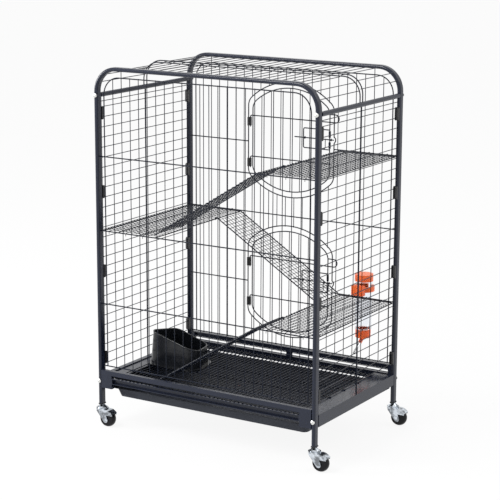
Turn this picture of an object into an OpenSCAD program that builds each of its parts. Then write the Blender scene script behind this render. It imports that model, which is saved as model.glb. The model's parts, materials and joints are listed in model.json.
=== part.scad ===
/* [Frame] */
// Width over the posts
frame_w = 635; // [600:1:700]
// Depth over the posts
frame_d = 428; // [410:1:480]
// Height of the arch tops above the floor
frame_h = 923; // [880:1:1000]
// Size of the flat-oval tube seen from the front
tube_t = 10; // [9:0.5:12]
// Size of the flat-oval tube from front to rear
tube_d = 20; // [18:0.5:24]
// Wall of the tubes
tube_wall = 1.2; // [0.8:0.1:2]
// Bend radius of the arches to the tube's centre
bend_r = 58; // [50:1:70]
// Height of the leg ends above the floor
leg_z = 60; // [60:1:70]
// Diameter of the round top crossbars
crossbar_d = 12; // [10:0.5:14]
// Depth of the crossbars' centre below the arch tops
crossbar_drop = 72; // [68:1:90]
// Diameter of the frame bolts
bolt_d = 6; // [4:0.5:7]

/* [Base] */
// Underside of the side rails above the floor
rail_z = 107; // [107:1:109]
// Height of the side rails
rail_h = 28; // [27:1:30]
// Width of the side rails
rail_w = 12.5; // [12:0.5:14]
// Height of the front frame
front_h = 47; // [46:0.5:50]
// Height of the grate's slot in the front frame
slot_h = 7; // [6.5:0.5:8]
// Gap between the tray and the rear posts
tray_back = 8; // [4:1:30]
// Height of the tray
tray_h = 21.5; // [18:0.5:24]
// Spacing of the floor grate's wires
grate_pitch = 12; // [11:0.5:16]

/* [Wire panels] */
// Diameter of edge, row and opening wires
edge_wire = 3; // [2.6:0.1:3.2]
// Diameter of grid wires
grid_wire = 2; // [1.6:0.1:2.2]
// Pairs of upright wires in the front and rear panels
upright_pairs = 12; // [11:1:13]
// Gap between a panel's edge wire and the post
edge_gap = 14.5; // [12:0.5:18]
// Radius of the panels' upper corners
corner_r = 45; // [38:1:50]
// Lower edge of the front and rear panels above the floor
panel_low = 161; // [160:1:166]
// Upper edge of the panels below the arch tops
panel_drop = 26; // [24:1:32]
// Wires in each side panel
side_rows = 27; // [22:1:30]
// Wires in each half of the roof
roof_rows = 10; // [8:1:12]

/* [Doors] */
// Gap between a door's frame and its opening
door_gap = 13; // [12:0.5:14]
// Upright wires in each door, its two sides counted
door_bars = 9; // [8:1:10]
// Travel of the latch bolts
bolt_travel = 12; // [10:0.5:12]
// Depth of the keeper's bend in the opening wire
keeper_depth = 8; // [7.5:0.5:10]

/* [Shelves and ramps] */
// Width of each shelf from the side panel
shelf_w = 158; // [140:1:170]
// Width of the ramps between the side rods
ramp_w = 112.5; // [87.5:12.5:112.5]
// Spacing of the shelves' cross wires
mesh_pitch = 12.5; // [12.5:12.5:25]
// Diameter of the shelves' and ramps' mesh wires
mesh_wire = 1.4; // [1.2:0.1:2]

/* [Casters] */
// Diameter of the wheels
wheel_d = 43; // [40:1:44]
// Width of the wheels
wheel_w = 18; // [16:0.5:19]
// Trail of the wheels behind their stems
trail = 18; // [14:0.5:19]
// Length of the plugs inside the legs
plug_l = 24; // [22:1:30]

/* [Bowl and bottle] */
// Width of the bowl's base
bowl_w = 158; // [140:1:160]
// Height of the bowl's high side
bowl_h = 94; // [80:1:100]
// Diameter of the bottle
bottle_d = 44; // [40:0.5:48]
// Length of the bottle's clear body
bottle_l = 127; // [115:1:135]

/* [Hidden] */
$fn = 32;
black = [0.07, 0.07, 0.08];
chrome = [0.75, 0.76, 0.78];
orange = [0.95, 0.35, 0.08];
clear = [0.85, 0.9, 0.95, 0.4];
// Hairline left between wires that touch
weld = 0.02;
// Post centres and their inner faces
post_x = frame_w / 2 - tube_t / 2;
post_y = frame_d / 2 - tube_d / 2;
in_x = post_x - tube_t / 2;
in_y = post_y - tube_d / 2;
arch_z = frame_h - tube_t / 2;
crossbar_z = frame_h - crossbar_drop;
rail_top = rail_z + rail_h;
rail_mid = rail_z + 14;
// Distances between the centres of touching wires
lap_eg = (edge_wire + grid_wire) / 2 + weld;
lap_ee = edge_wire + weld;
lap_em = (edge_wire + mesh_wire) / 2 + weld;
lap_mm = mesh_wire + weld;
butt = edge_wire / 2 + weld;
// Front and rear panels
panel_x = in_x - edge_gap;
panel_top = frame_h - panel_drop;
panel_h = panel_top - panel_low;
col = panel_x / (upright_pairs - 0.5);
row_step = panel_h * 188 / 736;
rows = [panel_low, panel_low + panel_h * 350 / 736 - row_step, panel_low + panel_h * 350 / 736,
    panel_low + panel_h * 350 / 736 + row_step, panel_top];
// Grid wires lie on the inside of the edge wires
grid_y = post_y - lap_eg;
// Door openings: half width, end radius, half height and centre above each row
open_x = 5.02 * col;
open_r = 1.383 * open_x;
open_z = row_step * 150 / 188;
open_mid = row_step * 12 / 188;
open_bend = 30;
// Doors
door_x = open_x - door_gap;
door_r = open_r - door_gap - 2;
door_y = post_y + 0.4;
hinge_x = -open_x + 4;
hinge_y = door_y + lap_ee;
hinge_rows = [row_step * 56 / 188, -row_step * 52 / 188];
latch_z = 11;
bolt_y = door_y + edge_wire + 0.1;
// Side panels: end rods in the clips, wires on their inside
rod_y = in_y - 3.3;
side_x = post_x - lap_eg;
clip_h = 33;
clip_zs = [crossbar_z - 45, rows[2] + 97, rows[2] - 106, rail_top + 44];
// Shelves
shelf_edge_x = in_x + 0.5 - shelf_w - 1.5;
shelf_y = grid_y - grid_wire / 2 - 1;
// Height of a shelf's cross wires, grid wires and edge wire above its row
mesh_long = lap_em;
mesh_cross = mesh_long - lap_mm;
mesh_edge = mesh_cross - lap_em;
shelf_top = mesh_long + mesh_wire / 2;
// Ramp hooks around the shelf's edge wire
hook_r = edge_wire + 0.15;
// Grate
grate_x = post_x - 39.5;
slot_z = rail_z + 25;
grate_z = slot_z + 0.5;
grate_top = grate_z + edge_wire + weld + 2.5;
// Base
ledge = 1.5;
tray_rim = rail_z - 8.5;
tray_x = in_x - 7.5;
tray_y = -in_y + 7;
tray_l = in_y - tray_back - tray_y;
wheel_z = wheel_d / 2;
// Bottle between two uprights, the underside of its screw cap, and the lean of its spout
bottle_x = -panel_x + (2 * upright_pairs - 4.5) * col;
bottle_y = post_y + 11 + bottle_d / 2;
bottle_z = rows[1] - 114;
cap_h = 23;
spout_turn = 126;
bowl_pos = [-194, -17];

// Straight round rod between two points
module rod(a, b, d) {
    v = b - a;
    l = norm(v);
    translate(a) rotate([0, acos(v[2] / l), atan2(v[1], v[0])]) cylinder(h = l, d = d);
}

// Wire bent in the XZ plane, angles from +X towards +Z
module arc_xz(c, r, from, to, d) {
    translate(c) rotate([90, 0, 0]) rotate([0, 0, from])
        rotate_extrude(angle = to - from) translate([r, 0]) circle(d = d);
}

// Bent wire that starts along +X and turns in the XY plane.
// Each step is a straight length, a turn in degrees and its radius.
// A gap leaves a hairline at both ends of each straight length.
module wire_run(steps, d, gap = 0, i = 0) {
    if (i < len(steps)) {
        s = steps[i];
        side = sign(s[1]);
        if (s[0] > 0) translate([gap, 0, 0]) rotate([0, 90, 0]) cylinder(h = s[0] - 2 * gap, d = d);
        translate([s[0], 0, 0]) {
            if (side != 0) translate([0, side * s[2], 0]) rotate([0, 0, side > 0 ? -90 : 90 + s[1]])
                rotate_extrude(angle = abs(s[1])) translate([s[2], 0]) circle(d = d);
            translate([0, side * s[2], 0]) rotate([0, 0, s[1]]) translate([0, -side * s[2], 0])
                wire_run(steps, d, gap, i + 1);
        }
    }
}

// Turns a wire run's plane upright: X stays, Y becomes Z
module upright() {
    rotate([90, 0, 0]) children();
}

module at_posts() {
    for (sx = [-1, 1], sy = [-1, 1]) translate([sx * post_x, sy * post_y, 0]) scale([sx, sy, 1]) children();
}

// Flat-oval section, thin along X and wide along Y
module oval(t, d) {
    translate([0, (d - t) / 2]) circle(d = t);
    translate([0, -(d - t) / 2]) circle(d = t);
    square([t, d - t], center = true);
}

// The arch's path with a flat-oval section
module arch(t, d, low) {
    for (s = [-1, 1]) {
        translate([s * post_x, 0, low]) linear_extrude(arch_z - bend_r - low) oval(t, d);
        translate([s * (post_x - bend_r), 0, arch_z - bend_r]) rotate([90, 0, 0]) rotate([0, 0, s > 0 ? 0 : 90])
            rotate_extrude(angle = 90) translate([bend_r, 0]) oval(t, d);
    }
    translate([-(post_x - bend_r), 0, arch_z]) rotate([0, 90, 0]) linear_extrude(2 * (post_x - bend_r)) oval(t, d);
}

// Hollow arch with its bolt, clip and wire holes; its front is towards -Y
module arch_frame() {
    difference() {
        arch(tube_t, tube_d, leg_z);
        arch(tube_t - 2 * tube_wall, tube_d - 2 * tube_wall, leg_z - 1);
        for (s = [-1, 1]) {
            for (z = [crossbar_z, rail_mid]) translate([s * post_x, 0, z]) rotate([90, 0, 0])
                cylinder(h = tube_d + 2, d = bolt_d + 0.2, center = true);
            for (z = clip_zs) translate([s * post_x, tube_d / 2, z]) rotate([90, 0, 0])
                cylinder(h = 2 * tube_wall + 2, d = 5, center = true);
            for (k = [0 : 3]) translate([s * in_x, 0, rows[k]]) rotate([0, 90, 0])
                cylinder(h = 2 * tube_wall + 2, d = edge_wire + 0.1, center = true);
        }
    }
}

module front_arch_frame() {
    color(black) translate([0, -post_y, 0]) arch_frame();
}

module rear_arch_frame() {
    color(black) translate([0, post_y, 0]) mirror([0, 1, 0]) arch_frame();
}

module crossbar() {
    l = 2 * in_y - 2 * weld;
    rotate([90, 0, 0]) difference() {
        cylinder(h = l, d = crossbar_d, center = true);
        cylinder(h = l - 40, d = crossbar_d - 2 * tube_wall, center = true);
        cylinder(h = l + 2, d = bolt_d + 0.1, center = true);
    }
}

module left_top_crossbar() {
    color(black) translate([-post_x, 0, crossbar_z]) crossbar();
}

module right_top_crossbar() {
    color(black) translate([post_x, 0, crossbar_z]) crossbar();
}

// Folded front frame: upper rail, grate slot, lower rail open to the front, gap above the tray
module front_base_frame() {
    y0 = -frame_d / 2;
    depth = 10;
    wall = 1.5;
    low = rail_z - 3;
    window_z = rail_z + 10;
    window_x = grate_x + 2;
    upper_z = slot_z + slot_h;
    color(black) difference() {
        translate([-in_x + weld, y0, low]) cube([2 * in_x - 2 * weld, depth, front_h]);
        translate([-window_x, y0 - 1, slot_z]) cube([2 * window_x, depth + 2, slot_h]);
        translate([-window_x, y0 - 1, low - 1]) cube([2 * window_x, depth + 2, window_z - low + 1]);
        translate([-in_x + 2, y0 + wall, upper_z + wall])
            cube([2 * in_x - 4, depth, low + front_h - upper_z - 2 * wall]);
        translate([-window_x + wall, y0 - 1, window_z + wall])
            cube([2 * window_x - 2 * wall, depth + 1 - wall, slot_z - window_z - 2 * wall]);
        for (s = [-1, 1]) translate([s * (window_x + in_x) / 2, y0 + wall + depth / 2, low + 8])
            cube([in_x - window_x - 4, depth, 12], center = true);
    }
}

module rear_base_frame() {
    color(black) {
        difference() {
            translate([0, post_y, rail_z + 35]) cube([2 * in_x - 2 * weld, 10, 31], center = true);
            translate([0, post_y, rail_z + 33]) cube([2 * in_x - 20, 12, 12], center = true);
            translate([0, post_y - 2, rail_z + 44.5]) cube([2 * in_x - 20, 10, 8], center = true);
            translate([0, post_y - 2, rail_z + 23.2]) cube([2 * in_x - 20, 10, 4.6], center = true);
        }
        translate([0, post_y + 3.4, rail_z + 33]) cube([18, 3, 11.96], center = true);
        for (z = [rail_z + 29.5, rail_z + 36]) translate([0, post_y, z]) rotate([0, 90, 0])
            cylinder(h = 2 * in_x - 20.08, d = 2, center = true);
    }
}

// Side rail with the grate's ledge above and the tray's ledge below; outside is +X
module base_rail() {
    l = 2 * in_y - 2 * weld;
    x1 = frame_w / 2;
    x0 = x1 - rail_w;
    difference() {
        union() {
            translate([x0, -l / 2, rail_z]) cube([rail_w, l, rail_h]);
            translate([grate_x - 8, -l / 2, grate_z - weld - ledge]) cube([x0 - grate_x + 9, l, ledge]);
            translate([x0 - ledge, -l / 2, tray_rim - ledge]) cube([ledge * 2, l, rail_z - tray_rim + ledge + 1]);
            translate([tray_x - 10, -l / 2, tray_rim - ledge]) cube([x0 - tray_x + 11, l, ledge]);
        }
        translate([x0 + ledge, 3 - l / 2, rail_z + ledge]) cube([rail_w - 2 * ledge, l - 6, rail_h - 2 * ledge]);
        translate([post_x, 0, rail_mid]) rotate([90, 0, 0]) cylinder(h = l + 2, d = bolt_d + 0.1, center = true);
    }
}

module left_base_rail() {
    color(black) mirror([1, 0, 0]) base_rail();
}

module right_base_rail() {
    color(black) base_rail();
}

// Height of the panels' edge wire where an upright meets it
function edge_top(x) = abs(x) <= panel_x - corner_r ? panel_top
    : panel_top - corner_r + sqrt(pow(corner_r, 2) - pow(abs(x) - panel_x + corner_r, 2));

// Edge wire, rows and the rows' ends in the posts, in the plane y = 0
module panel_edge(open) {
    cx = panel_x - corner_r;
    rod([-panel_x - edge_wire / 2, 0, panel_low], [panel_x + edge_wire / 2, 0, panel_low], edge_wire);
    rod([-cx + weld, 0, panel_top], [cx - weld, 0, panel_top], edge_wire);
    for (s = [-1, 1]) {
        rod([s * panel_x, 0, panel_low + butt], [s * panel_x, 0, panel_top - corner_r - weld], edge_wire);
        arc_xz([s * cx, 0, panel_top - corner_r], corner_r, s > 0 ? 0 : 90, s > 0 ? 90 : 180, edge_wire);
        for (k = [0 : 3]) rod([s * (panel_x + butt + (k == 0 ? weld : 0)), 0, rows[k]],
            [s * (in_x + 2), 0, rows[k]], edge_wire);
        if (open) for (k = [1, 3])
            rod([s * (open_x + butt), 0, rows[k]], [s * (panel_x - butt), 0, rows[k]], edge_wire);
    }
    for (k = open ? [2] : [1, 2, 3]) rod([-panel_x + butt, 0, rows[k]], [panel_x - butt, 0, rows[k]], edge_wire);
}

// An upright grid wire; the third from each side reaches up to the arch
module upright_wire(x, from, to) {
    tall = abs(abs(x) - panel_x + 2 * col) < 1 && to > panel_top - 1;
    rod([x, 0, from], [x, 0, tall ? arch_z - tube_t / 2 - weld : to], grid_wire);
}

// Centre height of an opening's corner bends, and the angle that its end arcs reach to
function corner_z(hx, r, h) = h - r + sqrt(pow(r - open_bend, 2) - pow(hx - open_bend, 2));

function arc_reach(hx, r, h) = atan2(hx - open_bend, corner_z(hx, r, h) - h + r);

// Angle from +X at which the corner bend of side t (left or right) and end s (top or bottom) begins
function corner_from(t, s, a) = t > 0 ? (s > 0 ? 0 : a - 90) : (s > 0 ? 90 + a : 180);

// Height of an opening's outline above its centre
function opening_z(x, hx, r, h) = abs(x) < r * sin(arc_reach(hx, r, h)) ? h - r + sqrt(pow(r, 2) - pow(x, 2))
    : corner_z(hx, r, h) + sqrt(pow(open_bend, 2) - pow(abs(x) - hx + open_bend, 2));

// Rounded frame of a door or its opening, centred on z = 0; a keeper bends one side outward
module opening_frame(hx, r, h, keeper) {
    zc = corner_z(hx, r, h);
    a = arc_reach(hx, r, h);
    cut = 0.01;
    for (s = [-1, 1]) {
        if (s < 0 || !keeper) rod([s * hx, 0, -zc + weld], [s * hx, 0, zc - weld], edge_wire);
        for (t = [-1, 1]) arc_xz([t * (hx - open_bend), 0, s * zc], open_bend,
            corner_from(t, s, a), corner_from(t, s, a) + 90 - a, edge_wire);
        for (k = [0 : 3]) arc_xz([0, 0, s * (h - r)], r, s * 90 - a + k * a / 2 + cut,
            s * 90 - a + (k + 1) * a / 2 - cut, edge_wire);
    }
    if (keeper) translate([hx, 0, -zc + weld]) rotate([0, -90, 0]) keeper_wire(zc + latch_z - weld, zc - latch_z - weld);
}

// Side wire of an opening with the keeper's outward bend; runs along +X, bends towards +Y
module keeper_wire(below, above) {
    turn = 60;
    r = 3.5;
    slope = (keeper_depth - 2 * r * (1 - cos(turn))) / sin(turn);
    half = 2 * r * sin(turn) + slope * cos(turn) + 1.5;
    wire_run([[below - half, turn, r], [slope, -turn, r], [3, -turn, r], [slope, turn, r],
        [above - half, 0, 0]], edge_wire, weld);
}

module front_panel() {
    color(black) {
        translate([0, -post_y, 0]) panel_edge(false);
        for (i = [1 : 2 * upright_pairs - 2]) translate([0, -grid_y, 0])
            upright_wire(-panel_x + i * col, panel_low - edge_wire / 2, edge_top(-panel_x + i * col) + edge_wire / 2);
    }
}

module rear_panel() {
    low = rows[1] + open_mid;
    high = rows[3] + open_mid;
    color(black) {
        translate([0, post_y, 0]) {
            panel_edge(true);
            for (z = [low, high]) translate([0, 0, z])
                opening_frame(open_x, open_r, open_z, true);
        }
        translate([0, grid_y, 0]) for (i = [1 : 2 * upright_pairs - 2]) {
            x = -panel_x + i * col;
            foot = panel_low - edge_wire / 2;
            head = edge_top(x) + edge_wire / 2;
            if (abs(x) > open_x) upright_wire(x, foot, head);
            else {
                gap = opening_z(x, open_x, open_r, open_z) - edge_wire / 2;
                upright_wire(x, foot, low - gap);
                upright_wire(x, low + gap, high - gap);
                upright_wire(x, high + gap, head);
            }
        }
    }
}

// Side panel on the +X side: end rods, centre rod and level wires
module side_panel() {
    z0 = rail_top + weld;
    z1 = crossbar_z - crossbar_d / 2 - weld;
    step = (z1 - 24 - rail_top - 28) / (side_rows - 1);
    for (s = [-1, 1]) rod([post_x, s * rod_y, z0], [post_x, s * rod_y, z1], edge_wire);
    rod([post_x + 0.5, 0, z0], [post_x + 0.5, 0, z1], edge_wire + 1);
    for (k = [0 : side_rows - 1]) rod([side_x, -rod_y - 1, rail_top + 28 + k * step],
        [side_x, rod_y + 1, rail_top + 28 + k * step], grid_wire);
    rod([side_x, -rod_y - 1, z1 - 10], [side_x, rod_y + 1, z1 - 10], grid_wire);
}

module left_side_panel() {
    color(black) mirror([1, 0, 0]) side_panel();
}

module right_side_panel() {
    color(black) side_panel();
}

// Half of the roof towards +Y: level wires that reach the arch, under a hoop that stands on the crossbars
module roof_half(drop) {
    hoop_r = 46;
    hoop_z = frame_h - drop;
    cx = post_x - hoop_r;
    step = 26.9 * panel_x / 293;
    from = 6.5 - edge_wire / 2;
    to = in_y - weld;
    rod([-cx + weld, 6.5, hoop_z], [cx - weld, 6.5, hoop_z], edge_wire);
    for (s = [-1, 1]) {
        arc_xz([s * cx, 6.5, hoop_z - hoop_r], hoop_r, s > 0 ? 0 : 90, s > 0 ? 90 : 180, edge_wire);
        rod([s * post_x, 6.5, crossbar_z + crossbar_d / 2 + weld], [s * post_x, 6.5, hoop_z - hoop_r - weld], edge_wire);
        for (i = [0 : roof_rows - 1]) {
            x = s * step * (i + 0.5);
            rod([x, from, hoop_z - lap_eg], [x, to, hoop_z - lap_eg], grid_wire);
        }
        for (a = [18, 48]) {
            x = s * (cx + (hoop_r - lap_eg) * cos(a));
            z = hoop_z - hoop_r + (hoop_r - lap_eg) * sin(a);
            rod([x, from, z], [x, to, z], grid_wire);
        }
    }
}

// Two roof halves, each with its own hoop
module roof_panel() {
    color(black) {
        roof_half(3.5);
        mirror([0, 1, 0]) roof_half(7);
    }
}

// Clip that snaps over a side panel's end rod, with a channel for the wires; post is at +Y
module clip() {
    difference() {
        translate([-6, -6.7, -clip_h / 2]) cube([10.5, 6.7, clip_h]);
        translate([-3.8, -7.7, -clip_h / 2 - 1]) cube([2.9, 5.6, clip_h + 2]);
        translate([0, -3.3, -clip_h / 2 - 1]) cylinder(h = clip_h + 2, d = edge_wire + 0.1);
        for (s = [-1, 1]) translate([0, -6.7, s * clip_h / 2]) rotate([0, 90, 0])
            cylinder(h = 14, r = 3, center = true, $fn = 4);
    }
    rotate([-90, 0, 0]) cylinder(h = 3, d = 4.9);
}

module panel_clips(side) {
    color(black) for (sy = [-1, 1], z = clip_zs)
        translate([side * post_x, sy * (in_y - weld), z]) scale([side, sy, 1]) clip();
}

module left_panel_clips() {
    panel_clips(-1);
}

module right_panel_clips() {
    panel_clips(1);
}

// Domed bolt with its head on the face y = 0 and its shank towards +Y
module frame_bolt() {
    difference() {
        union() {
            intersection() {
                translate([0, 4, 0]) sphere(r = 8);
                translate([0, -10 - weld, 0]) rotate([-90, 0, 0]) cylinder(h = 10, d = 10);
            }
            translate([0, -1, 0]) rotate([-90, 0, 0]) cylinder(h = tube_d + 16, d = bolt_d);
        }
        translate([0, -6, 0]) rotate([-90, 0, 0]) cylinder(h = 4, d = 3, $fn = 6);
    }
}

module frame_bolts() {
    color(chrome) for (z = [crossbar_z, rail_mid], sx = [-1, 1], sy = [-1, 1])
        translate([sx * post_x, sy * frame_d / 2, z]) scale([1, -sy, 1]) frame_bolt();
}

// Plug in each leg end with a bore for the caster's stem
module leg_end_inserts() {
    color(black) at_posts() difference() {
        union() {
            translate([0, 0, leg_z - 2]) linear_extrude(2 - weld) oval(tube_t + 3, tube_d + 3);
            translate([0, 0, leg_z - 1]) linear_extrude(plug_l) oval(tube_t - 2 * tube_wall - 0.1, tube_d - 2 * tube_wall - 0.1);
        }
        translate([0, 0, leg_z - 3]) cylinder(h = plug_l - 3, d = 6.1);
    }
}

// Twin-barrel sleeves that join the door pins to the opening wires
module door_hinge_sleeves() {
    color(black) for (k = [1, 3], h = hinge_rows) translate([0, 0, rows[k] + open_mid + h - 27]) difference() {
        union() {
            translate([-open_x, post_y, 0]) cylinder(h = 22, d = 6.6);
            translate([hinge_x, hinge_y, 0]) cylinder(h = 22, d = 6.6);
            translate([(hinge_x - open_x) / 2, (post_y + hinge_y) / 2, 11])
                rotate([0, 0, atan2(hinge_y - post_y, hinge_x + open_x)]) cube([4, 5, 21], center = true);
        }
        translate([-open_x, post_y, -1]) cylinder(h = 26, d = edge_wire + 2 * weld);
        translate([hinge_x, hinge_y, -1]) cylinder(h = 26, d = edge_wire + 0.12);
    }
}

module caster_stems() {
    color(chrome) at_posts() {
        translate([0, 0, 52]) cylinder(h = leg_z + 14 - 52, d = 6);
        translate([0, 0, 52]) cylinder(h = leg_z - 2 - weld - 52, d = 9);
        translate([0, 0, 48.5]) cylinder(h = 1.6, d = 26);
        translate([0, 0, 50]) cylinder(h = leg_z - 4 - 50, d1 = 25, d2 = 12);
        translate([0, 0, 42]) cylinder(h = 7, d = 7);
        translate([0, 0, 41.5]) cylinder(h = 2.4, d = 11);
    }
}

// Mesh shelf on the +X side at a row; hooks over the row wires at both ends
module shelf(row, mirrored) {
    x0 = shelf_edge_x;
    x1 = side_x - grid_wire / 2 - 1.5;
    half = floor((shelf_y - 3) / mesh_pitch);
    m0 = ceil((x0 + 12) / (col / 2));
    m1 = floor((x1 - 1) / (col / 2));
    color(black) translate([0, 0, row]) scale([mirrored ? -1 : 1, 1, 1]) {
        for (j = [-half : half])
            rod([x0 - 0.8, j * mesh_pitch, mesh_cross], [x1 + 0.8, j * mesh_pitch, mesh_cross], mesh_wire);
        for (m = [m0 : m1]) {
            hooked = m % 4 == 2;
            l = shelf_y - 0.5;
            if (hooked) translate([m * col / 2, -post_y - 0.5, mesh_long]) rotate([0, 0, 90]) upright() {
                wire_run([[2 * post_y + 1, -90, 3.5], [4, 0, 0]], mesh_wire);
                mirror([1, 0, 0]) wire_run([[0, -90, 3.5], [4, 0, 0]], mesh_wire);
            }
            else rod([m * col / 2, -l, mesh_long], [m * col / 2, l, mesh_long], mesh_wire);
        }
        translate([x0, -shelf_y + 5, mesh_edge]) rotate([0, 0, 90]) mirror([0, 1, 0])
            wire_run([[2 * shelf_y - 10, 90, 4], [x1 - x0 - 10, 90, 6], [2 * shelf_y - 14, 90, 6],
                [x1 - x0 - 10, 90, 4]], edge_wire);
    }
}

module left_shelf() {
    shelf(rows[2], true);
}

module right_upper_shelf() {
    shelf(rows[3], false);
}

module right_lower_shelf() {
    shelf(rows[1], false);
}

// Ramp that hooks on a shelf edge at the origin and slopes down towards +X by the given drop and reach
module ramp(reach, drop) {
    l = sqrt(pow(reach, 2) + pow(drop, 2) - pow(hook_r, 2));
    slope = atan2(drop, reach) + atan(hook_r / l);
    half = ramp_w / 2;
    n = floor((l - 16) / mesh_pitch);
    rotate([0, slope, 0]) {
        for (s = [-1, 1]) translate([0, s * half, 0]) upright() {
            translate([0, hook_r, 0]) rod([weld, 0, 0], [l, 0, 0], edge_wire);
            rotate([0, 0, 90]) rotate_extrude(angle = 180) translate([hook_r, 0]) circle(d = edge_wire);
        }
        for (k = [0 : n]) rod([10 + k * mesh_pitch, -half - 1.5, hook_r + lap_em],
            [10 + k * mesh_pitch, half + 1.5, hook_r + lap_em], mesh_wire);
        for (k = [1 : ramp_w / 12.5 - 1]) rod([8, -half + k * 12.5, hook_r + lap_em - lap_mm],
            [l - 1, -half + k * 12.5, hook_r + lap_em - lap_mm], mesh_wire);
    }
}

// Places a ramp on a shelf edge: side of the edge, row above, landing height, place along the depth
module placed_ramp(side, row, landing, y) {
    reach = 2 * shelf_edge_x + 3;
    drop = row + mesh_edge - landing - edge_wire / 2 - 0.1;
    color(black) translate([side * shelf_edge_x, y, row + mesh_edge]) scale([-side, 1, 1]) ramp(reach, drop);
}

ramp_y = (floor((shelf_y - 3) / mesh_pitch) - 0.5) * mesh_pitch - ramp_w / 2 + mesh_pitch;

module upper_ramp() {
    placed_ramp(1, rows[3], rows[2] + shelf_top, -ramp_y);
}

module middle_ramp() {
    placed_ramp(-1, rows[2], rows[1] + shelf_top, ramp_y);
}

module lower_ramp() {
    placed_ramp(1, rows[1], grate_top, -ramp_y);
}

// Ring around the bottle on a block that snaps over two upright wires of the rear panel
module bottle_holder() {
    z = rows[1] + edge_wire;
    left = bottle_x - col / 2;
    color(orange) difference() {
        union() {
            translate([bottle_x, bottle_y, z + 7]) cylinder(h = 13, d = bottle_d + 12);
            translate([left - 4, grid_y - 2, z]) cube([col + 8, bottle_y - bottle_d / 2 - grid_y, 26]);
            translate([left - 7, post_y + 2, z]) cube([8, 6, 8]);
        }
        translate([bottle_x, bottle_y, z - 1]) cylinder(h = 30, d = bottle_d + 0.8);
        for (x = [left, left + col]) {
            translate([x, grid_y, z - 1]) cylinder(h = 30, d = grid_wire + 2 * weld);
            translate([x - grid_wire / 2 + 0.2, grid_y - 3, z - 1]) cube([grid_wire - 0.4, 3, 30]);
        }
        translate([bottle_x + 4, bottle_y + bottle_d / 2, z + 13]) cube([8, 20, 20], center = true);
    }
}

// Pan with sloping walls and a wide rim that runs on the rails' ledges
module tray() {
    wall = 1.6;
    z1 = tray_rim + weld;
    z0 = z1 + wall - tray_h;
    color(black) difference() {
        union() {
            translate([0, tray_l / 2 + tray_y, z1]) linear_extrude(wall) rounded(2 * tray_x, tray_l, 12);
            pan(2 * tray_x - 34, tray_l - 4, z0, z1 + wall, 12);
        }
        pan(2 * tray_x - 34 - 2 * wall, tray_l - 4 - 2 * wall, z0 + wall, z1 + wall + 0.1, 10);
    }
    module pan(w, l, low, high, r) {
        translate([0, tray_l / 2 + tray_y, 0]) hull() {
            translate([0, 0, low]) linear_extrude(0.1) rounded(w - 16, l - 10, r);
            translate([0, 0, high - 0.1]) linear_extrude(0.1) rounded(w, l, r);
        }
    }
}

module rounded(w, l, r) {
    offset(r) square([w - 2 * r, l - 2 * r], center = true);
}

module floor_grate() {
    n = floor(grate_x / grate_pitch);
    y0 = -in_y - 8.5;
    y1 = in_y - 30;
    zc = grate_z + edge_wire / 2;
    zw = grate_z + edge_wire + weld + 1.25;
    color(black) {
        for (i = [-n : n]) rod([i * grate_pitch, y0, zw], [i * grate_pitch, y1, zw], 2.5);
        for (k = [0 : 5]) rod([-grate_x, y0 + 3 + k * (y1 - y0 - 6) / 5, zc],
            [grate_x, y0 + 3 + k * (y1 - y0 - 6) / 5, zc], edge_wire);
    }
}

// Door frame wire on its own
module door_frame(row) {
    color(black) translate([0, door_y, row + open_mid])
        opening_frame(door_x, door_r, open_z - door_gap - 2, false);
}

// Door bars: uprights inside, hinge wires outside; the top one ends in a finger loop
module door_bars_of(row) {
    h = open_z - door_gap - 2;
    step = 2 * door_x / (door_bars - 1);
    color(black) translate([0, 0, row + open_mid]) {
        for (k = [1 : door_bars - 2]) {
            x = -door_x + k * step;
            z = opening_z(x, door_x, door_r, h) + 0.8;
            rod([x, door_y - lap_eg, -z], [x, door_y - lap_eg, z], grid_wire);
        }
        // Starts at the lower end of the left pin and runs up, right and round the loop
        translate([hinge_x, hinge_y, hinge_rows[0] - 30]) upright() rotate([0, 0, 90])
            wire_run([[26, -90, 4], [open_x + 2 - hinge_x - 4, 180, 10], [15, 0, 0]], edge_wire);
        translate([hinge_x, hinge_y, hinge_rows[1] - 30]) upright() rotate([0, 0, 90])
            wire_run([[26, -90, 4], [door_x - hinge_x - 2.5, 0, 0]], edge_wire);
    }
}

// Staple that carries the bolt, with two guide eyes and two bushes on the door's edge
module latch_guide(row) {
    left = open_x * 38 / 128;
    up = 25.5;
    color(black) translate([0, door_y, row + open_mid + latch_z]) {
        translate([door_x - butt, 0, up]) rotate([0, 0, 180]) upright()
            wire_run([[door_x - butt - left - 4, -90, 4], [2 * up - 8, -90, 4],
                [door_x - butt - left - 4, 0, 0]], edge_wire);
        for (x = [left + butt + 1, door_x + butt + 1]) translate([x, bolt_y - door_y, 0]) rotate([0, 90, 0])
            rotate_extrude() translate([edge_wire / 2 + 1.1, 0]) circle(d = 2);
        for (z = [6, up - 20]) difference() {
            translate([door_x, 0, z > 5.9 ? 6.5 : -22]) cylinder(h = 16, d = 6);
            translate([door_x, 0, -40]) cylinder(h = 80, d = edge_wire + 2 * weld);
        }
    }
}

// Sliding bolt drawn back, with the pull wire that hangs from it
module latch_bolt(row) {
    tip = open_x + 9 - bolt_travel;
    color(black) translate([0, 0, row + open_mid + latch_z]) {
        rod([tip - 115, bolt_y, 0], [tip, bolt_y, 0], edge_wire);
        translate([tip - 39, bolt_y + edge_wire / 2 + 1 + weld, edge_wire / 2]) upright() rotate([0, 0, -90])
            wire_run([[22, 90, 5], [3, 90, 5], [22, 0, 0]], 2);
    }
}

module upper_door_frame() {
    door_frame(rows[3]);
}

module upper_door_bars() {
    door_bars_of(rows[3]);
}

module upper_latch_guide() {
    latch_guide(rows[3]);
}

module upper_latch_bolt() {
    latch_bolt(rows[3]);
}

module lower_door_frame() {
    door_frame(rows[1]);
}

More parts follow.
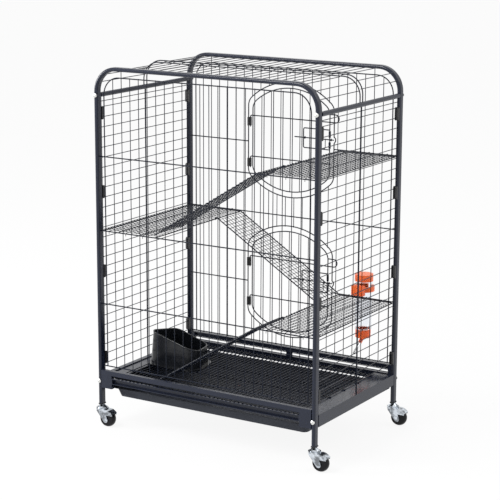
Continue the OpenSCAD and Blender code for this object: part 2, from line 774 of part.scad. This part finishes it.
module lower_door_bars() {
    door_bars_of(rows[1]);
}

module lower_latch_guide() {
    latch_guide(rows[1]);
}

module lower_latch_bolt() {
    latch_bolt(rows[1]);
}

// Side of a fork: a leg down to the hub and the hood's wing over the wheel
module fork_side() {
    hull() {
        translate([trail - 1.5, wheel_z - 3]) circle(r = 7);
        translate([-10, 40]) square([22, 7]);
    }
    intersection() {
        translate([trail, wheel_z]) circle(r = wheel_d / 2 + 2);
        translate([0, wheel_z + 10]) square([trail + 18.5, 14]);
    }
}

// Hooded fork at the origin, trailing towards +X
module fork() {
    gap = wheel_w + 1;
    color(chrome) difference() {
        union() {
            for (s = [-1, 1]) translate([0, s * (gap / 2 + 1), 0]) rotate([90, 0, 0])
                linear_extrude(2, center = true) fork_side();
            translate([0, 0, 44]) cylinder(h = 4.4, d = 31);
            translate([trail, 0, wheel_z]) rotate([90, 0, 0]) rotate([0, 0, 36])
                rotate_extrude(angle = 62) translate([wheel_d / 2 + 1.5, 0]) square([1.6, gap + 3.9], center = true);
        }
        translate([0, 0, 40]) cylinder(h = 10, d = 7.15);
        translate([trail, 0, wheel_z]) rotate([90, 0, 0]) cylinder(h = 40, d = 5.1, center = true);
        translate([trail, 0, wheel_z]) rotate([90, 0, 0]) cylinder(h = gap, d = wheel_d + 0.8, center = true);
    }
}

// Rounded wheel with a hub bore
module wheel() {
    color(black) rotate([90, 0, 0]) difference() {
        rotate_extrude() intersection() {
            translate([0, -wheel_w / 2]) square([wheel_d / 2, wheel_w]);
            translate([wheel_d / 2 - 14, 0]) circle(r = 14);
        }
        cylinder(h = wheel_w + 2, d = 5.14, center = true);
    }
}

module axle() {
    l = wheel_w + 5.2;
    color(chrome) rotate([90, 0, 0]) {
        cylinder(h = l, d = 5, center = true);
        for (s = [-1, 1]) translate([0, 0, s * (l / 2 + 0.5)]) cylinder(h = 1.2, d = 7, center = true);
    }
}

module front_left_fork() {
    translate([-post_x, -post_y, 0]) fork();
}

module front_right_fork() {
    translate([post_x, -post_y, 0]) fork();
}

module rear_left_fork() {
    translate([-post_x, post_y, 0]) fork();
}

module rear_right_fork() {
    translate([post_x, post_y, 0]) fork();
}

module front_left_wheel() {
    translate([trail - post_x, -post_y, wheel_z]) wheel();
}

module front_right_wheel() {
    translate([trail + post_x, -post_y, wheel_z]) wheel();
}

module rear_left_wheel() {
    translate([trail - post_x, post_y, wheel_z]) wheel();
}

module rear_right_wheel() {
    translate([trail + post_x, post_y, wheel_z]) wheel();
}

module front_left_axle() {
    translate([trail - post_x, -post_y, wheel_z]) axle();
}

module front_right_axle() {
    translate([trail + post_x, -post_y, wheel_z]) axle();
}

module rear_left_axle() {
    translate([trail - post_x, post_y, wheel_z]) axle();
}

module rear_right_axle() {
    translate([trail + post_x, post_y, wheel_z]) axle();
}

// Outline of the bowl with a flat front, grown by a margin
module bowl_outline(margin) {
    k = bowl_w / 158;
    offset(margin) hull() {
        translate([-45 * k, -28 * k]) circle(r = 26 * k);
        translate([43 * k, -22 * k]) circle(r = 32 * k);
        translate([33 * k, 20 * k]) circle(r = 32 * k);
        translate([-33 * k, 34 * k]) circle(r = 26 * k);
    }
}

// Bowl that narrows upwards, with a foot flange and a rim that slopes down to its low side
module food_bowl() {
    taper = 9;
    color(black) translate([bowl_pos[0], bowl_pos[1], grate_top + 0.1]) difference() {
        union() {
            linear_extrude(2.5) bowl_outline(6);
            bowl_shell(0, 0);
        }
        bowl_shell(3, 2.6);
        translate([-77 * bowl_w / 158, -60, bowl_h]) rotate([-5.7, 15.4, 0]) translate([-50, -100, 0])
            cube([300, 300, 120]);
    }
    module bowl_shell(low, wall) {
        hull() {
            translate([0, 0, low]) linear_extrude(0.1) bowl_outline(-wall - taper * low / (bowl_h + 20));
            translate([0, 0, bowl_h + 20]) linear_extrude(0.1) bowl_outline(-wall - taper);
        }
    }
}

// Clear body with a neck in the screw cap
module bottle_body() {
    color(clear) translate([bottle_x, bottle_y, bottle_z + cap_h + weld]) difference() {
        union() {
            cylinder(h = bottle_l, d = bottle_d);
            translate([0, 0, -14]) cylinder(h = 15, d = bottle_d - 9);
        }
        translate([0, 0, 2]) cylinder(h = bottle_l, d = bottle_d - 3);
        translate([0, 0, -15]) cylinder(h = 20, d = bottle_d - 12);
    }
}

module bottle_cap() {
    color(orange) translate([bottle_x, bottle_y, bottle_z]) difference() {
        union() {
            cylinder(h = cap_h, d = bottle_d - 4);
            rotate([spout_turn, 0, 0]) translate([0, 0, -3]) cylinder(h = 25.5, d = 10);
        }
        translate([0, 0, 3]) cylinder(h = cap_h, d = bottle_d - 8.8);
        rotate([spout_turn, 0, 0]) translate([0, 0, -8]) cylinder(h = 40, d = 8.1);
    }
}

module bottle_top_cap() {
    color(orange) translate([bottle_x, bottle_y, bottle_z + cap_h + bottle_l + 2 * weld])
        cylinder(h = 18, d = bottle_d + 4);
}

// Steel tube that leans from the spout into the cage
module sipper_tube() {
    color(chrome) translate([bottle_x, bottle_y, bottle_z]) rotate([spout_turn, 0, 0])
        translate([0, 0, -4]) linear_extrude(62) pipe_section();
}

module pipe_section() {
    difference() {
        circle(d = 8);
        circle(d = 6);
    }
}

front_arch_frame();
rear_arch_frame();
left_top_crossbar();
right_top_crossbar();
front_base_frame();
rear_base_frame();
left_base_rail();
right_base_rail();
front_panel();
rear_panel();
left_side_panel();
right_side_panel();
roof_panel();
left_panel_clips();
right_panel_clips();
frame_bolts();
leg_end_inserts();
door_hinge_sleeves();
caster_stems();
left_shelf();
right_upper_shelf();
right_lower_shelf();
bottle_holder();
tray();
floor_grate();
upper_door_frame();
upper_door_bars();
upper_latch_guide();
upper_latch_bolt();
lower_door_frame();
lower_door_bars();
lower_latch_guide();
lower_latch_bolt();
upper_ramp();
middle_ramp();
lower_ramp();
front_left_fork();
front_right_fork();
rear_left_fork();
rear_right_fork();
front_left_wheel();
front_right_wheel();
rear_left_wheel();
rear_right_wheel();
front_left_axle();
front_right_axle();
rear_left_axle();
rear_right_axle();
food_bowl();
bottle_body();
bottle_cap();
bottle_top_cap();
sipper_tube();
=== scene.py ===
import json
from math import radians

import bmesh
import bpy
from mathutils import Matrix, Vector


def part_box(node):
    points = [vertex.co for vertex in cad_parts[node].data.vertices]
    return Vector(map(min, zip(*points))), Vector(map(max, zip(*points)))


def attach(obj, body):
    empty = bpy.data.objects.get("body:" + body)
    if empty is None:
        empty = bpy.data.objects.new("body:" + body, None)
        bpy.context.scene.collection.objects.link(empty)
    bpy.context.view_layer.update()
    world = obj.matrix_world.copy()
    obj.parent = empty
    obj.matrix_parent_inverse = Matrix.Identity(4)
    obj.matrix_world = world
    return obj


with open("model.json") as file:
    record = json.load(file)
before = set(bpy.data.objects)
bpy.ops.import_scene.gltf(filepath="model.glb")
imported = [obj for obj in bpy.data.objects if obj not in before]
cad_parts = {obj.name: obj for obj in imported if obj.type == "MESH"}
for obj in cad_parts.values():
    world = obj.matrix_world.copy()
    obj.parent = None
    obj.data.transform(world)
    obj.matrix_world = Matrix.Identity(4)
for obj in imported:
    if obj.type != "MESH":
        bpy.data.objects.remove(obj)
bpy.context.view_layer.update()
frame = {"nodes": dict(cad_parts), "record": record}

# Lengths are in metres, powers in watts, colours in linear red, green and blue.

# Camera fitted to the photograph
CAMERA_AT = Vector((2.19255, -3.53811, 1.39671))
CAMERA_RIGHT = Vector((0.8499965, 0.52677462, 0.00380121))
CAMERA_UP = Vector((-0.11883012, 0.18470287, 0.97558406))
CAMERA_SENSOR_MM = 36
CAMERA_LENS_MM = 122.15

# Floor and world: the floor's share of plain white as it is seen, and the world's strength
# as a light. Where the world is seen, it is plain white.
WHITE = (1, 1, 1, 1)
FLOOR_HALF = 30
FLOOR_COLOUR = (0.9, 0.9, 0.9, 1)
FLOOR_ROUGHNESS = 0.8
FLOOR_SPECULAR = 0.1
FLOOR_GLOW = 0.9
WORLD_LIGHT = 0.7

# Lamps: name, place, target, diameter, power
LAMPS = (
    ("key", (-1.2, -2.4, 3.4), (0, 0, 0.4), 1.6, 90),
    ("rim", (2.6, 1.4, 2.8), (0, 0, 0.5), 2.0, 22),
    ("left strip", (-2.6, -1.6, 1.1), (0, 0, 0.4), 0.8, 45),
)

# Nodes of tube and of folded sheet, which take the black coat; wire takes a copy with less
# gloss and a darker colour, and that darker colour is painted shade
TUBE_NODES = ("front_arch_frame", "rear_arch_frame", "left_top_crossbar", "right_top_crossbar")
SHEET_NODES = ("front_base_frame", "rear_base_frame", "left_base_rail", "right_base_rail")

# Rounding of the folded and moulded edges, and of an added strip as a share of its thickness
SHEET_ROUND = 0.0005
MOULDED_ROUND = {"tray": 0.0008, "food_bowl": 0.0009}
ROUND_SEGMENTS = 2
ROUND_FROM = radians(35)
STRIP_ROUND_SHARE = 0.3

# Back wall of the tray: it stands on the rim, and each end slopes down to a low lip
WALL_THICK = 0.0016
WALL_IN_RIM = 0.0012
WALL_RISE = 0.0161
WALL_FROM_BACK = 0.0028
WALL_HALF = 0.269
WALL_SLOPE = 0.007
WALL_CORNER = 0.005
WALL_LIP = 0.0015

# Sheet that carries the rear base frame's lower rail on downwards
SKIRT_THICK = 0.0012
SKIRT_DROP = 0.0155
SKIRT_FROM_BACK = 0.0007
SKIRT_LAP = 0.0002
SKIRT_END_GAP = 0.0002

# Bead on the bowl's rim: its place across the wall runs from 0 outside to 1 inside.
# The rim is found as the faces above the foot that slope a little, after points nearer
# than WELD are made one.
BEAD_RADIUS = 0.0019
BEAD_RESOLUTION = 3
BEAD_SUNK = 0.0008
BEAD_ACROSS = 0.35
RIM_ABOVE_FOOT = 0.03
RIM_NORMAL_Z = (0.9, 0.99)
WELD = 1e-6

scene = bpy.context.scene
nodes = frame["nodes"]


# Camera


def make_camera():
    data = bpy.data.cameras.new("camera")
    data.sensor_width = CAMERA_SENSOR_MM
    data.lens = CAMERA_LENS_MM
    camera = bpy.data.objects.new("camera", data)
    back = CAMERA_RIGHT.cross(CAMERA_UP)
    turn = Matrix((CAMERA_RIGHT, CAMERA_UP, back)).transposed()
    camera.matrix_world = Matrix.Translation(CAMERA_AT) @ turn.to_4x4()
    scene.collection.objects.link(camera)
    scene.camera = camera


# Materials


def map_range(tree, source, low, high, start=0, end=1):
    """The source's values from start to end, spread from low to high."""
    node = tree.nodes.new("ShaderNodeMapRange")
    values = {"From Min": start, "From Max": end, "To Min": low, "To Max": high}
    for socket, value in values.items():
        node.inputs[socket].default_value = value
    tree.links.new(source, node.inputs["Value"])
    return node.outputs["Result"]


class Graph:
    """A material's node tree, in which noise varies colour, roughness and surface."""

    # The part of the noise's range that is spread over a material's limits
    MIDDLE = (0.3, 0.7)

    def __init__(self, name, **sockets):
        self.material = bpy.data.materials.new(name)
        self.material.use_nodes = True
        self.tree = self.material.node_tree
        self.shader = self.tree.nodes["Principled BSDF"]
        self.place = self.tree.nodes.new("ShaderNodeTexCoord").outputs["Object"]
        for socket, value in sockets.items():
            self.shader.inputs[socket.replace("_", " ")].default_value = value

    def noise(self, scale, detail):
        node = self.tree.nodes.new("ShaderNodeTexNoise")
        node.inputs["Scale"].default_value = scale
        node.inputs["Detail"].default_value = detail
        self.tree.links.new(self.place, node.inputs["Vector"])
        return node.outputs["Fac"]

    def colour(self, dark, light, scale, detail=4, middle=MIDDLE):
        factor = map_range(self.tree, self.noise(scale, detail), 0, 1, *middle)
        node = self.tree.nodes.new("ShaderNodeMix")
        node.data_type = "RGBA"
        node.inputs["A"].default_value = (*dark, 1)
        node.inputs["B"].default_value = (*light, 1)
        self.tree.links.new(factor, node.inputs["Factor"])
        self.tree.links.new(node.outputs["Result"], self.shader.inputs["Base Color"])

    def roughness(self, limits, scale, detail):
        source = map_range(self.tree, self.noise(scale, detail), *limits, *self.MIDDLE)
        self.tree.links.new(source, self.shader.inputs["Roughness"])

    def bump(self, strength, distance, scale, detail=2):
        node = self.tree.nodes.new("ShaderNodeBump")
        node.inputs["Strength"].default_value = strength
        node.inputs["Distance"].default_value = distance
        self.tree.links.new(self.noise(scale, detail), node.inputs["Height"])
        self.tree.links.new(node.outputs["Normal"], self.shader.inputs["Normal"])


def powder_coat(name, dark, light, gloss):
    graph = Graph(name, Specular_IOR_Level=gloss)
    graph.colour(dark, light, scale=9)
    graph.roughness((0.18, 0.27), scale=60, detail=3)
    graph.bump(strength=0.06, distance=0.0004, scale=1500)
    return graph.material


def moulded(name, dark, light, rough, gloss=0.5):
    graph = Graph(name, Specular_IOR_Level=gloss)
    graph.colour(dark, light, scale=14)
    graph.roughness(rough, scale=40, detail=4)
    graph.bump(strength=0.1, distance=0.0003, scale=900)
    return graph.material


def bright_metal(name, tone, rough, shade=0.88, scale=120):
    """Metal with darker patches, whose colour is shade times its tone: painted reflections of
    dark surroundings, strongest on the caster chrome.
    """
    graph = Graph(name, Metallic=1.0)
    graph.colour(tuple(shade * part for part in tone), tone, scale, middle=(0.4, 0.6))
    graph.roughness(rough, scale=220, detail=3)
    return graph.material


def clear_plastic(name):
    graph = Graph(name, Transmission_Weight=1.0, IOR=1.2, Roughness=0.06)
    graph.colour((0.9, 0.92, 0.95), (0.97, 0.98, 1.0), scale=30, detail=3)
    graph.bump(strength=0.05, distance=0.0003, scale=180)
    return graph.material


MATERIALS = {
    "black_coat": powder_coat(
        "powder_coat", (0.008, 0.011, 0.023), (0.011, 0.015, 0.031), gloss=0.38),
    # The caster chrome's dark patches, at 0.3 of its tone, are painted reflections of dark
    # surroundings.
    "caster_chrome": bright_metal(
        "caster_chrome", (0.7, 0.75, 0.81), (0.08, 0.16), shade=0.3, scale=90),
    "bolt_zinc": bright_metal("bolt_zinc", (0.85, 0.85, 0.83), (0.2, 0.32)),
    "black_plastic": moulded(
        "black_plastic", (0.01, 0.01, 0.011), (0.02, 0.02, 0.022), (0.42, 0.55)),
    "tray_plastic": moulded(
        "tray_plastic", (0.03, 0.033, 0.043), (0.038, 0.042, 0.053), (0.38, 0.5), gloss=0.15),
    "bowl_plastic": moulded(
        "bowl_plastic", (0.006, 0.007, 0.009), (0.01, 0.011, 0.014), (0.1, 0.18), gloss=0.38),
    "wheel_plastic": moulded(
        "wheel_plastic", (0.004, 0.004, 0.006), (0.008, 0.008, 0.01), (0.14, 0.24), gloss=0.2),
    "orange_plastic": moulded(
        "orange_plastic", (1.0, 0.12, 0.02), (1.0, 0.2, 0.04), (0.25, 0.38)),
    "clear_plastic": clear_plastic("clear_plastic"),
    "sipper_steel": bright_metal("sipper_steel", (0.78, 0.79, 0.8), (0.12, 0.24)),
}

# Wire's copy of the black coat: its darker colour is painted shade, and its gloss is lower.
SHADED_WIRE_COAT = powder_coat(
    "shaded_wire_coat", (0.003, 0.005, 0.012), (0.005, 0.008, 0.018), gloss=0.22)


def dress_nodes():
    slots = {part["node"]: part["material_slot"] for part in frame["record"]["subparts"]}
    for name, node in nodes.items():
        is_wire = slots[name] == "black_coat" and name not in TUBE_NODES + SHEET_NODES
        material = SHADED_WIRE_COAT if is_wire else MATERIALS[slots[name]]
        for slot in node.material_slots:
            slot.material = material


def round_edge(piece, width):
    bevel = piece.modifiers.new("rounded edges", "BEVEL")
    bevel.width = width
    bevel.segments = ROUND_SEGMENTS
    bevel.limit_method = "ANGLE"
    bevel.angle_limit = ROUND_FROM


def round_edges():
    widths = dict.fromkeys(SHEET_NODES, SHEET_ROUND) | MOULDED_ROUND
    for name, width in widths.items():
        round_edge(nodes[name], width)


# Pieces that the solids lack


def add_piece(name, data, body, slot):
    data.materials.append(MATERIALS[slot])
    piece = bpy.data.objects.new(name, data)
    scene.collection.objects.link(piece)
    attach(piece, body)
    return piece


def strip(name, path, width, body, slot):
    """A wall of even thickness along points of x, y, lowest and highest z, with closed ends."""
    bm = bmesh.new()
    rings = []
    for i, (x, y, low, high) in enumerate(path):
        x0, y0 = path[max(i - 1, 0)][:2]
        x1, y1 = path[min(i + 1, len(path) - 1)][:2]
        side = Vector((y1 - y0, x0 - x1, 0)).normalized() * width / 2
        corners = ((1, low), (1, high), (-1, high), (-1, low))
        rings.append([bm.verts.new(Vector((x, y, z)) + sign * side) for sign, z in corners])
    for a, b in zip(rings, rings[1:]):
        for k in range(4):
            bm.faces.new((a[k], b[k], b[(k + 1) % 4], a[(k + 1) % 4]))
    bm.faces.new(rings[0])
    bm.faces.new(reversed(rings[-1]))
    bmesh.ops.recalc_face_normals(bm, faces=bm.faces)
    mesh = bpy.data.meshes.new(name)
    bm.to_mesh(mesh)
    bm.free()
    round_edge(add_piece(name, mesh, body, slot), width * STRIP_ROUND_SHARE)


def tray_back_wall():
    """Wall behind the grate, low enough to pass below the front base frame."""
    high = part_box("tray")[1]
    foot, top = high.z - WALL_IN_RIM, high.z + WALL_RISE
    y = high.y - WALL_FROM_BACK
    slope_top = WALL_HALF - WALL_SLOPE
    half = [
        (WALL_HALF, y, foot, foot + WALL_LIP),
        (slope_top, y, foot, top - WALL_LIP),
        (slope_top - WALL_CORNER, y, foot, top),
    ]
    mirrored = [(-x, *rest) for x, *rest in reversed(half)]
    strip("tray_back_wall", half + mirrored, WALL_THICK, "tray", "tray_plastic")


def rear_rail_skirt():
    """The rear base frame's lower rail goes on down behind the tray, as one folded sheet."""
    low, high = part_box("rear_base_frame")
    y = high.y - SKIRT_FROM_BACK
    ends = (low.x + SKIRT_END_GAP, high.x - SKIRT_END_GAP)
    path = [(x, y, low.z - SKIRT_DROP, low.z + SKIRT_LAP) for x in ends]
    strip("rear_rail_skirt", path, SKIRT_THICK, "cage", "black_coat")


def perimeter(loop):
    return sum((p - q).length for p, q in zip(loop, loop[1:] + loop[:1]))


def boundary_loops(bm, faces):
    """The closed loops of points round a set of faces, the longest first."""
    ways = {}
    for edge in bm.edges:
        if sum(face in faces for face in edge.link_faces) == 1:
            for vert in edge.verts:
                ways.setdefault(vert, []).append(edge.other_vert(vert))
    loops = []
    while ways:
        vert = next(iter(ways))
        loop = []
        while vert in ways:
            loop.append(vert.co.copy())
            others = ways.pop(vert)
            vert = next((other for other in others if other in ways), vert)
        loops.append(loop)
    return sorted(loops, key=perimeter, reverse=True)


def bowl_rim():
    """The outer and the inner edge of the bowl's sloping rim."""
    bm = bmesh.new()
    bm.from_mesh(nodes["food_bowl"].data)
    bmesh.ops.remove_doubles(bm, verts=bm.verts, dist=WELD)
    bm.normal_update()
    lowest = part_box("food_bowl")[0].z + RIM_ABOVE_FOOT
    steep, flat = RIM_NORMAL_Z
    rim = {
        face for face in bm.faces
        if steep < face.normal.z < flat and face.calc_center_median().z > lowest
    }
    outer, inner = boundary_loops(bm, rim)[:2]
    bm.free()
    return outer, inner


def bowl_bead():
    """Rolled bead along the bowl's sloping rim, just outside the middle of its wall."""
    outer, inner = bowl_rim()
    curve = bpy.data.curves.new("bowl_rim_bead", "CURVE")
    curve.dimensions = "3D"
    curve.bevel_depth = BEAD_RADIUS
    curve.bevel_resolution = BEAD_RESOLUTION
    spline = curve.splines.new("POLY")
    spline.points.add(len(outer) - 1)
    spline.use_cyclic_u = True
    for knot, point in zip(spline.points, outer):
        nearest = min(inner, key=lambda other: (other - point).length)
        middle = point.lerp(nearest, BEAD_ACROSS) - Vector((0, 0, BEAD_SUNK))
        knot.co = (*middle, 1)
    add_piece("bowl_rim_bead", curve, "food_bowl", "bowl_plastic")


# Floor and light


def seen_rays(tree):
    """1 for camera, glossy and transmission rays, which see the white backdrop, otherwise 0."""
    path = tree.nodes.new("ShaderNodeLightPath")
    total = path.outputs["Is Camera Ray"]
    for kind in ("Is Glossy Ray", "Is Transmission Ray"):
        larger = tree.nodes.new("ShaderNodeMath")
        larger.operation = "MAXIMUM"
        tree.links.new(total, larger.inputs[0])
        tree.links.new(path.outputs[kind], larger.inputs[1])
        total = larger.outputs[0]
    return total


def floor_material():
    material = bpy.data.materials.new("floor")
    material.use_nodes = True
    tree = material.node_tree
    shader = tree.nodes["Principled BSDF"]
    shader.inputs["Base Color"].default_value = FLOOR_COLOUR
    shader.inputs["Roughness"].default_value = FLOOR_ROUGHNESS
    shader.inputs["Specular IOR Level"].default_value = FLOOR_SPECULAR
    white = tree.nodes.new("ShaderNodeEmission")
    white.inputs["Color"].default_value = WHITE
    mix = tree.nodes.new("ShaderNodeMixShader")
    tree.links.new(map_range(tree, seen_rays(tree), 0, FLOOR_GLOW), mix.inputs["Fac"])
    tree.links.new(shader.outputs["BSDF"], mix.inputs[1])
    tree.links.new(white.outputs["Emission"], mix.inputs[2])
    tree.links.new(mix.outputs["Shader"], tree.nodes["Material Output"].inputs["Surface"])
    return material


def make_floor():
    mesh = bpy.data.meshes.new("floor")
    signs = ((-1, -1), (1, -1), (1, 1), (-1, 1))
    corners = [(x * FLOOR_HALF, y * FLOOR_HALF, 0) for x, y in signs]
    mesh.from_pydata(corners, [], [(0, 1, 2, 3)])
    mesh.materials.append(floor_material())
    floor = bpy.data.objects.new("floor", mesh)
    scene.collection.objects.link(floor)


def make_world():
    world = bpy.data.worlds.new("world")
    world.use_nodes = True
    tree = world.node_tree
    background = tree.nodes["Background"]
    background.inputs["Color"].default_value = WHITE
    strength = map_range(tree, seen_rays(tree), WORLD_LIGHT, 1.0)
    tree.links.new(strength, background.inputs["Strength"])
    scene.world = world


def area_light(name, at, target, size, power):
    data = bpy.data.lights.new(name, "AREA")
    data.shape = "DISK"
    data.size = size
    data.energy = power
    lamp = bpy.data.objects.new(name, data)
    lamp.location = at
    lamp.rotation_euler = (Vector(target) - Vector(at)).to_track_quat("-Z", "Y").to_euler()
    lamp.visible_camera = False
    scene.collection.objects.link(lamp)


make_camera()
make_world()
make_floor()
for values in LAMPS:
    area_light(*values)
dress_nodes()
round_edges()
tray_back_wall()
rear_rail_skirt()
bowl_bead()
scene.view_settings.view_transform = "Standard"
